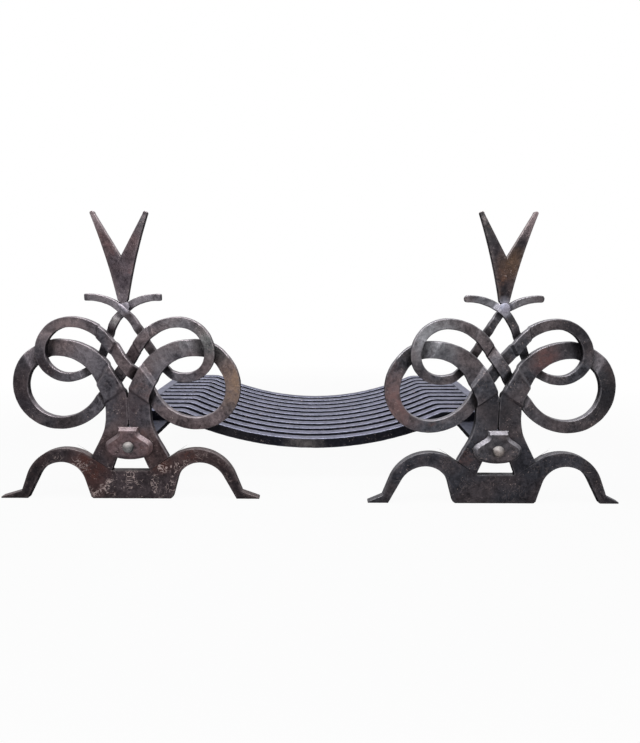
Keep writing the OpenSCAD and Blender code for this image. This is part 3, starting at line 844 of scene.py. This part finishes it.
class Nodes:
    """Short way to build a node tree."""

    def __init__(self, owner):
        owner.use_nodes = True
        self.tree = owner.node_tree
        self.tree.nodes.clear()

    def add(self, kind, inputs=None, **settings):
        made = self.tree.nodes.new("ShaderNode" + kind)
        for key, value in settings.items():
            setattr(made, key, value)
        for key, value in (inputs or {}).items():
            if isinstance(value, bpy.types.NodeSocket):
                self.tree.links.new(value, made.inputs[key])
            else:
                made.inputs[key].default_value = value
        return made

    def noise(self, at, scale, detail=4.0, roughness=0.55, distortion=0.0):
        made = self.add("TexNoise", {"Vector": at, "Scale": scale, "Detail": detail,
                                     "Roughness": roughness, "Distortion": distortion})
        return made.outputs["Fac"]

    def span(self, value, low, high, out_low=0.0, out_high=1.0):
        """A value's span between low and high, spread over another one and clamped."""
        made = self.add("MapRange", {"Value": value, "From Min": low, "From Max": high,
                                     "To Min": out_low, "To Max": out_high})
        return made.outputs["Result"]

    def maths(self, how, *values):
        return self.add("Math", dict(enumerate(values)), operation=how).outputs[0]

    def times(self, a, b):
        return self.maths("MULTIPLY", a, b)

    def plus(self, first, *others):
        for other in others:
            first = self.maths("ADD", first, other)
        return first

    def near(self, value, middle, width):
        """1 where a value is at the middle, 0 where it is a width or more away from it."""
        gap = self.maths("ABSOLUTE", self.maths("SUBTRACT", value, middle))
        return self.span(gap, width, width * 0.3)

    def distance(self, a, b):
        return self.add("VectorMath", {0: a, 1: b}, operation="DISTANCE").outputs["Value"]

    def blend(self, share, a, b, how="MIX"):
        inputs = {"Factor": share, 6: a, 7: b}
        return self.add("Mix", inputs, data_type="RGBA", blend_type=how).outputs[2]

    def shaded(self, colour, shade):
        """A colour times a grey value."""
        grey = self.add("CombineColor", {0: shade, 1: shade, 2: shade}).outputs[0]
        return self.blend(1.0, colour, grey, "MULTIPLY")

    def bump(self, height, distance, strength, **under):
        """Normal with a height's relief, laid over the one passed as Normal."""
        inputs = {"Height": height, "Distance": distance, "Strength": strength, **under}
        return self.add("Bump", inputs).outputs["Normal"]


def srgb(r, g, b):
    """Linear colour of 0 to 255 values."""
    def linear(v):
        v /= 255
        return v / 12.92 if v <= 0.04045 else ((v + 0.055) / 1.055) ** 2.4
    return (linear(r), linear(g), linear(b), 1.0)


PALE = srgb(190, 172, 168)
# Near-black of the painted shade on sideways faces, and on the fronts of the grate and log bars.
PAINTED_SHADE_BLACK = srgb(22, 22, 27)
COOL = (0.93, 1.0, 1.04, 1.0)
WARM = (1.08, 0.98, 0.93, 1.0)

# noise patterns: cells per metre, detail, roughness, distortion
CLOUDS = (26, 6, 0.62)
BLOTCHES = (70, 4, 0.6, 0.8)
MOTTLE = (190, 5, 0.6)
GRAIN = (900, 3)
HUES = (13, 2)
RUST_AREAS = (15, 5, 0.6, 0.6)
SPECKS = (330, 2, 0.5, 1.2)
SPECK_AREAS = (34, 3)
CURLS = (64, 1, 0.5, 2.2)
CURL_AREAS = (42, 3)
SCRATCHES = (1, 3, 0.6, 0.4)  # in a space that these turn and stretch
SCRATCH_TURN = (0.0, 0.7, 0.2)
SCRATCH_STRETCH = (60.0, 300.0, 900.0)
SCRATCH_AREAS = (48, 2)
RUBBING = (120, 5, 0.6)
GLOSS = (90, 5, 0.65)

CURL_WIDTH = 0.042  # in the noise's own values
CURL_CENTRE_Z = 0.03  # on a dog's axis; curls fade over these distances from it
CURL_FADE = (0.16, 0.09)
FOOT_FADE = (0.150, 0.105)  # heights over which a foot's colours take over
NOOK_SHADE_REACH = 0.019  # reach of the painted shade in crevices and between parts


def forged_iron(name, origin, colours, rust_from=0.56, specks_from=0.64, curls=None, rough=0.5,
                stains_and_painted_light=(), foot=None, painted_front_shade=False):
    """Hammered iron with fire scale, rust, pale flecks and scratches, and worn edges, with
    painted light and shade: a painted top light on faces that look up, near-black painted
    shade on faces that look sideways, and painted shade in crevices.

    colours are those of the dark and the light areas, worn edges, faces that look up (the
    painted top light) and rust. foot gives the dark and the light colour near the floor, and
    each patch in the list of staining and painted light gives x, z and radius in millimetres
    from the origin, and colour; some patches are real staining, others paint light and shade.
    curls gives the strength of the pale squiggles far from the dog's centre foot and close to
    it. Worn edges are paler where they face up, which is partly a painted highlight. Faces
    that look neither up nor to the front or back get a near-black painted shade, and with the
    front shade set, so does every face that does not look up."""
    dark, light, edge, top, rust = (srgb(*colour) for colour in colours)
    material = bpy.data.materials.new(name)
    n = Nodes(material)
    coords = n.add("TexCoord")
    at = coords.outputs["Object"]
    facing = n.add("SeparateXYZ", {0: coords.outputs["Normal"]}).outputs
    blotches, mottle, grain = (n.noise(at, *kind) for kind in (BLOTCHES, MOTTLE, GRAIN))
    if foot:
        height = n.add("SeparateXYZ", {0: at}).outputs["Z"]
        low = n.span(height, *FOOT_FADE)
        dark, light = (n.blend(low, a, srgb(*b)) for a, b in zip((dark, light), foot))
    paleness = n.plus(n.span(n.noise(at, *CLOUDS), 0.39, 0.61, 0, 0.36),
                      n.span(blotches, 0.39, 0.61, 0, 0.34), n.span(mottle, 0.38, 0.62, 0, 0.3))
    colour = n.blend(paleness, dark, light)
    hue = n.span(n.noise(at, *HUES), 0.42, 0.58)
    colour = n.blend(1.0, colour, n.blend(hue, COOL, WARM), "MULTIPLY")
    rust_zone = n.times(n.span(n.noise(at, *RUST_AREAS), rust_from, rust_from + 0.13),
                        n.span(mottle, 0.38, 0.62, 0.1, 0.85))
    colour = n.blend(rust_zone, colour, rust)
    # Painted shade: every face that does not look up, the front included, darkens towards
    # near-black. It stands in for the shade between the slats.
    if painted_front_shade:
        colour = n.blend(n.times(n.span(facing["Z"], 0.7, 0.3),
                                 n.span(mottle, 0.3, 0.7, 0.95, 0.7)), colour, PAINTED_SHADE_BLACK)
    # Patches of colour round given points; some are real staining, others are painted light and
    # shade.
    for x, z, radius, *patch_colour in stains_and_painted_light:
        far = n.distance(at, origin + Vector((x, 0, z)) * MM)
        share = n.times(n.span(far, radius * MM, 0.3 * radius * MM),
                        n.span(blotches, 0.34, 0.6, 0.25, 0.9))
        colour = n.blend(share, colour, srgb(*patch_colour))
    colour = n.shaded(colour, n.span(grain, 0.3, 0.7, 0.7, 1.28))
    # Painted top light: faces that look up are blended towards the top colour, as if lit from
    # above.
    up = n.span(facing["Z"], 0.12, 0.6)
    colour = n.blend(n.times(up, n.span(blotches, 0.35, 0.6, 0.45, 0.95)), colour, top)
    # Painted shade: faces that look neither up nor to the front or back darken towards near-black.
    side = n.times(n.span(n.maths("ABSOLUTE", facing["Y"]), 0.75, 0.35), n.span(up, 1, 0))
    colour = n.blend(n.times(side, n.span(mottle, 0.3, 0.7, 0.9, 0.6)), colour, PAINTED_SHADE_BLACK)
    specks = n.times(n.span(n.noise(at, *SPECKS), specks_from, specks_from + 0.05),
                     n.span(n.noise(at, *SPECK_AREAS), 0.5, 0.6, 0, 0.8))
    colour = n.blend(specks, colour, PALE)
    if curls:
        line = n.times(n.near(n.noise(at, *CURLS), 0.5, CURL_WIDTH),
                       n.span(n.noise(at, *CURL_AREAS), 0.5, 0.57))
        far = n.distance(at, origin + Vector((0, 0, CURL_CENTRE_Z)))
        colour = n.blend(n.times(line, n.span(far, *CURL_FADE, *curls)), colour, PALE)
    turned = n.add("Mapping", {"Vector": at, "Rotation": SCRATCH_TURN,
                               "Scale": SCRATCH_STRETCH}).outputs["Vector"]
    scratches = n.times(n.span(n.noise(turned, *SCRATCHES), 0.665, 0.70),
                        n.span(n.noise(at, *SCRATCH_AREAS), 0.52, 0.6, 0, 0.5))
    colour = n.blend(scratches, colour, PALE)
    wear = n.add("Attribute", attribute_name="wear").outputs["Fac"]
    # Pale worn edges: real wear in patches, made stronger where the edge faces up, which is a
    # painted highlight from above.
    rubbed_and_top_lit = n.times(n.span(n.noise(at, *RUBBING), 0.38, 0.62, 0.1, 0.9),
                     n.span(facing["Z"], -0.4, 0.6, 0.25, 1.0))
    worn = n.times(wear, rubbed_and_top_lit)
    colour = n.blend(n.times(worn, 0.75), colour, edge)
    # Painted shade: darker in crevices, under the crossings and between touching parts, by ambient
    # occlusion.
    nook_shade = n.add("AmbientOcclusion", {"Distance": NOOK_SHADE_REACH}, samples=6)
    colour = n.shaded(colour, n.span(nook_shade.outputs["AO"], 0.25, 0.85, 0.24, 1.0))
    gloss = n.span(n.noise(at, *GLOSS), 0.3, 0.7, rough + 0.1, rough - 0.08)
    gloss = n.plus(gloss, n.times(worn, -0.12), n.times(side, 0.25))
    dents = n.add("TexVoronoi", {"Vector": at, "Scale": 95.0, "Smoothness": 0.6},
                  feature="SMOOTH_F1").outputs["Distance"]
    normal = n.bump(dents, 0.0012, 0.35)
    normal = n.bump(mottle, 0.0009, 0.6, Normal=normal)
    normal = n.bump(grain, 0.00025, 0.6, Normal=normal)
    shader = n.add("BsdfPrincipled", {
        "Base Color": colour, "Roughness": gloss, "Normal": normal, "Metallic": 0.7,
        "Specular IOR Level": 0.4, "Specular Tint": (0.6, 0.6, 0.62, 1.0)})
    n.add("OutputMaterial", {"Surface": shader.outputs[0]})
    return material


LEFT_BASE = (42, 35, 37), (98, 84, 86)
RIGHT_BASE = (33, 32, 36), (86, 83, 89)

# In each look, the fourth of the colours is a painted top light, blended in on faces that look up.
LOOKS = {
    "left_base": dict(
        colours=(*LEFT_BASE, (132, 120, 120), (108, 102, 103), (98, 66, 60)),
        specks_from=0.66, curls=(0.25, 1.0), rough=0.54,
        stains_and_painted_light=[(-75, 60, 50, 92, 57, 50), (50, 70, 30, 86, 56, 50),
                (-180, 30, 100, 34, 31, 34), (180, 30, 100, 38, 34, 37)]),
    "left_bar": dict(
        colours=((44, 39, 44), (136, 128, 133), (158, 150, 154), (138, 131, 136), (112, 86, 82)),
        rust_from=0.6, rough=0.46, foot=LEFT_BASE,
        # Besides real staining, these patches are painted light and shade: lighter towards the
        # middle of the pair, darker on the dog's outer side, a pale patch at the top crossing that
        # is the ground weld with a painted highlight, and painted shadow and light on the bars
        # just below it.
        stains_and_painted_light=[(205, 215, 65, 146, 122, 104), (-100, 300, 60, 152, 135, 135),
                (95, 300, 45, 136, 134, 138), (-145, 240, 45, 60, 51, 55),
                (-105, 140, 50, 46, 42, 44), (160, 290, 50, 108, 110, 108),
                (-200, 190, 85, 54, 47, 52), (-70, 262, 40, 142, 136, 142),
                (60, 262, 35, 128, 122, 126), (0, 165, 45, 70, 60, 65),
                (0, 355, 75, 150, 144, 150), (0, 350, 18, 164, 157, 165),
                (10, 333, 13, 66, 54, 54), (-14, 325, 13, 158, 155, 154),
                (-21, 306, 15, 34, 26, 26)]),
    "left_spear": dict(
        colours=((54, 45, 49), (118, 104, 109), (156, 144, 146), (160, 152, 154), (118, 84, 82)),
        stains_and_painted_light=[(-47, 505, 40, 158, 144, 148), (47, 495, 35, 88, 88, 92),
                (0, 356, 26, 138, 129, 135)]),
    "left_keeper": dict(
        colours=((66, 54, 56), (142, 122, 125), (154, 140, 143), (150, 137, 140), (116, 78, 70)),
        rust_from=0.6, specks_from=0.62, rough=0.62),
    "right_base": dict(
        colours=(*RIGHT_BASE, (124, 120, 124), (114, 114, 118), (84, 64, 60)),
        rust_from=0.64, specks_from=0.66, curls=(0.125, 0.125), rough=0.54),
    "right_bar": dict(
        colours=((38, 36, 41), (120, 116, 121), (150, 146, 150), (140, 138, 144), (108, 82, 78)),
        rust_from=0.62, rough=0.46, foot=RIGHT_BASE,
        # Besides real staining, these patches are painted light and shade: lighter towards the
        # middle of the pair, darker on the dog's outer side, a pale patch at the top crossing that
        # is the ground weld with a painted highlight, and painted shadow just below it.
        stains_and_painted_light=[(-200, 180, 80, 130, 102, 100), (75, 262, 35, 120, 88, 86),
                (205, 200, 85, 48, 46, 49), (130, 310, 55, 52, 51, 56),
                (-120, 300, 60, 146, 146, 150), (0, 355, 70, 138, 137, 142),
                (13, 322, 24, 40, 40, 42), (-15, 322, 22, 42, 41, 46),
                (-2, 350, 20, 196, 195, 210), (0, 165, 45, 54, 52, 56)]),
    "right_spear": dict(
        colours=((30, 27, 30), (84, 75, 77), (152, 142, 142), (168, 158, 158), (104, 78, 66)),
        rust_from=0.54,
        stains_and_painted_light=[(45, 500, 45, 150, 133, 135), (-45, 500, 60, 52, 56, 58),
                (12, 425, 35, 96, 76, 62), (0, 354, 18, 172, 171, 184)]),
    "right_keeper": dict(
        colours=((48, 47, 51), (116, 113, 118), (170, 167, 173), (168, 165, 172), (84, 66, 62)),
        rust_from=0.64, rough=0.62),
    "rivet": dict(
        colours=((96, 92, 91), (196, 191, 188), (180, 175, 174), (176, 171, 169), (110, 92, 86)),
        rust_from=0.6, rough=0.72),
    "log_bar": dict(
        colours=((24, 25, 34), (60, 62, 76), (110, 112, 124), (96, 98, 112), (74, 64, 66)),
        rust_from=0.66, painted_front_shade=True),
    "grate": dict(
        colours=((30, 32, 43), (70, 71, 86), (128, 130, 146), (130, 131, 152), (92, 80, 76)),
        rust_from=0.66, rough=0.4, painted_front_shade=True,
        stains_and_painted_light=[(-10, 60, 50, 112, 107, 106), (-160, 80, 60, 52, 50, 54)]),
    "left_weld": dict(
        colours=((116, 108, 114), (168, 160, 167), (202, 194, 201), (178, 171, 178),
                 (120, 98, 94)),
        rust_from=0.64, rough=0.66, stains_and_painted_light=[(6, 326, 14, 88, 76, 78)]),
    "right_weld": dict(
        colours=((132, 132, 144), (176, 175, 190), (184, 183, 198), (170, 169, 183),
                 (120, 104, 102)),
        rust_from=0.68, rough=0.7, stains_and_painted_light=[(0, 328, 14, 70, 68, 73)]),
}

DOG_BODY = {"left": "left_fire_dog", "right": "right_fire_dog"}


def dog_origin(dog):
    """Floor point below the front face, on the axis of a fire dog."""
    low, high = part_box(dog + "_rivet")
    return Vector(((low.x + high.x) / 2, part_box(dog + "_base_plate")[0].y, 0))


def look_origin(look):
    """Floor point that a look's patches of colour, real staining and painted light and shade, are
    measured from: its dog's, or the front slat's.
    """
    owner = look.split("_")[0]
    if owner in DOG_BODY:
        return dog_origin(owner)
    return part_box("slat_01")[0] * Vector((0, 1, 0))


IRONS = {look: forged_iron(look.replace("_", " ") + " iron", look_origin(look), **settings)
         for look, settings in LOOKS.items()}


# ---- assembly ----

def build_dog(dog, number):
    """All pieces of one fire dog. number sets its hammer marks apart from the other's."""
    body = DOG_BODY[dog]
    origin = dog_origin(dog)
    rivet_low, rivet_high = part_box(dog + "_rivet")
    rivet_z = (rivet_low.z + rivet_high.z) / 2 / MM
    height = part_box(dog + "_spear")[1].z / MM
    seed = Vector((DOG_SEED * number, 0, 0))

    def dog_piece(part, shells, iron, slot, nodes=None, **more):
        names = [dog + "_" + part] if nodes is None else nodes
        piece("forged_" + dog + "_" + part, shells, IRONS[iron], body, slot, names, origin,
              **more)

    base_low, base_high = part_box(dog + "_base_plate")
    toes = (origin.x - base_low.x) / MM, (base_high.x - origin.x) / MM
    dog_piece("base_plate", [base_plate(*toes, seed)], dog + "_base", "base_iron")
    for bar, letter in enumerate("ab"):
        dog_piece("scroll_bar_" + letter, [scroll_bar(bar, dog, seed)], dog + "_bar",
                  "bar_iron", sharp=SHARP_ANGLE[dog])
    dog_piece("spear", [spear(height, OVER_LIMB[dog], seed)], dog + "_spear", "bar_iron")
    dog_piece("keeper", [keeper(rivet_z, seed)], dog + "_keeper", "keeper_iron")
    dog_piece("rivet", [rivet(rivet_z, seed)], "rivet", "keeper_iron")
    low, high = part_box(dog + "_log_bar")
    dog_piece("log_bar", [log_bar(low, high, origin.y, seed)], "log_bar", "log_bar_iron",
              turned=True)
    dog_piece("crossing_weld", crossing_welds(dog, seed), dog + "_weld", "bar_iron",
              nodes=())
    dog_piece("stem_weld", [stem_weld(*STEM_WELD[dog], seed)], dog + "_bar", "bar_iron",
              nodes=())


def build_grate():
    """The slats, the two end bars and the welds between them."""
    look = IRONS["grate"], "grate", "grate_iron"
    slats = sorted(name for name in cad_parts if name.startswith("slat_"))
    boxes = {name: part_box(name) for name in slats}
    for number, name in enumerate(slats):
        low, high = boxes[name]
        origin = Vector(((low.x + high.x) / 2, low.y, 0))
        seed = Vector((0, SLAT_SEED * number, 0))
        piece("forged_" + name, [slat(low, high, seed)], *look, [name], origin)
    for side in ("left", "right"):
        node = side + "_end_bar"
        low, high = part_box(node)
        path = Path((0, (low.z + high.z) / 2 / MM), 0, SLAT).run((high.y - low.y) / MM)
        origin = Vector(((low.x + high.x) / 2, low.y, 0))
        bar = swept(path, 0, SLAT, EDGE_R, SLAT_STEP, origin * END_SEED)
        piece("forged_" + node, [bar], *look, [node], origin, turned=True)
        face_x = high.x if side == "left" else low.x
        beads = []
        for y in [corner.y for name in slats for corner in boxes[name]]:
            foot = Vector((face_x, y, low.z)) / MM
            beads.append(bead(foot + Vector((0, 0, END_BEAD_SHORT)),
                              foot + Vector((0, 0, SLAT - END_BEAD_SHORT)), END_BEAD_R, foot))
        piece("forged_" + side + "_end_welds", beads, *look)


# ---- studio ----

FLOOR_SIZE = 40
FLOOR_GREY = (0.36, 0.36, 0.37, 1)
WHITE = (1, 1, 1, 1)
WORLD_LIGHT = 0.16
KEY = dict(place=(-0.1, -0.6, 1.6), size=(1.6, 0.8), energy=34)
FRONT = dict(place=(0.0, -2.2, 0.9), size=(0.5, 0.6), energy=14)
LAMP_TARGET = (0, 0, 0.25)
CAMERA_PLACE = (0.0216, -1.2889, 0.4044)
CAMERA_PITCH = 80.71
CAMERA_ROLL = 0.22
CAMERA_LENS = 28.635


def floor():
    """Floor that is white to the camera, with a faint shadow near the middle."""
    bpy.ops.mesh.primitive_plane_add(size=FLOOR_SIZE)
    plane = bpy.context.object
    plane.name = "floor"
    material = bpy.data.materials.new("pale floor")
    n = Nodes(material)
    lit = n.add("BsdfDiffuse", {"Color": FLOOR_GREY})
    white = n.add("Emission", {"Color": WHITE, "Strength": 1.0})
    at = n.add("TexCoord").outputs["Object"]
    far = n.distance(at, (0, 0, 0))
    seen = n.add("LightPath").outputs["Is Camera Ray"]
    share = n.times(seen, n.span(far, 0.75, 1.4, 0.95, 1.0))
    both = n.add("MixShader", {0: share, 1: lit.outputs[0], 2: white.outputs[0]})
    n.add("OutputMaterial", {"Surface": both.outputs[0]})
    plane.data.materials.append(material)


def white_world():
    """Even light, and plain white where the camera or a reflection sees past the floor."""
    world = bpy.data.worlds.new("studio")
    bpy.context.scene.world = world
    n = Nodes(world)
    direction = n.add("SeparateXYZ", {0: n.add("TexCoord").outputs["Generated"]})
    behind = n.span(direction.outputs["Y"], -0.5, 0.15, 0.1, 1.0)
    rays = n.add("LightPath").outputs
    seen = n.maths("MAXIMUM", rays["Is Camera Ray"], n.times(rays["Is Glossy Ray"], behind))
    seen = n.maths("MAXIMUM", seen, rays["Is Transmission Ray"])
    strength = n.maths("MAXIMUM", seen, WORLD_LIGHT)
    light = n.add("Background", {"Color": WHITE, "Strength": strength})
    n.add("OutputWorld", {"Surface": light.outputs[0]})


def lamp(name, place, size, energy):
    """Soft rectangular lamp that points at the middle of the set."""
    light = bpy.data.lights.new(name, "AREA")
    light.shape = "RECTANGLE"
    light.size, light.size_y = size
    light.energy = energy
    made = linked(name, light)
    made.location = place
    aim = Vector(LAMP_TARGET) - Vector(place)
    made.rotation_euler = aim.to_track_quat("-Z", "Y").to_euler()


def camera():
    """Camera at the photograph's viewing angle."""
    data = bpy.data.cameras.new("camera")
    data.lens = CAMERA_LENS
    made = linked("camera", data)
    turn = (Matrix.Rotation(radians(CAMERA_PITCH), 4, "X")
            @ Matrix.Rotation(radians(CAMERA_ROLL), 4, "Z"))
    made.matrix_world = Matrix.Translation(CAMERA_PLACE) @ turn
    bpy.context.scene.camera = made


build_dog("left", 0)
build_dog("right", 1)
build_grate()
floor()
white_world()
lamp("key", **KEY)
lamp("front", **FRONT)
camera()
bpy.context.scene.view_settings.view_transform = "Standard"
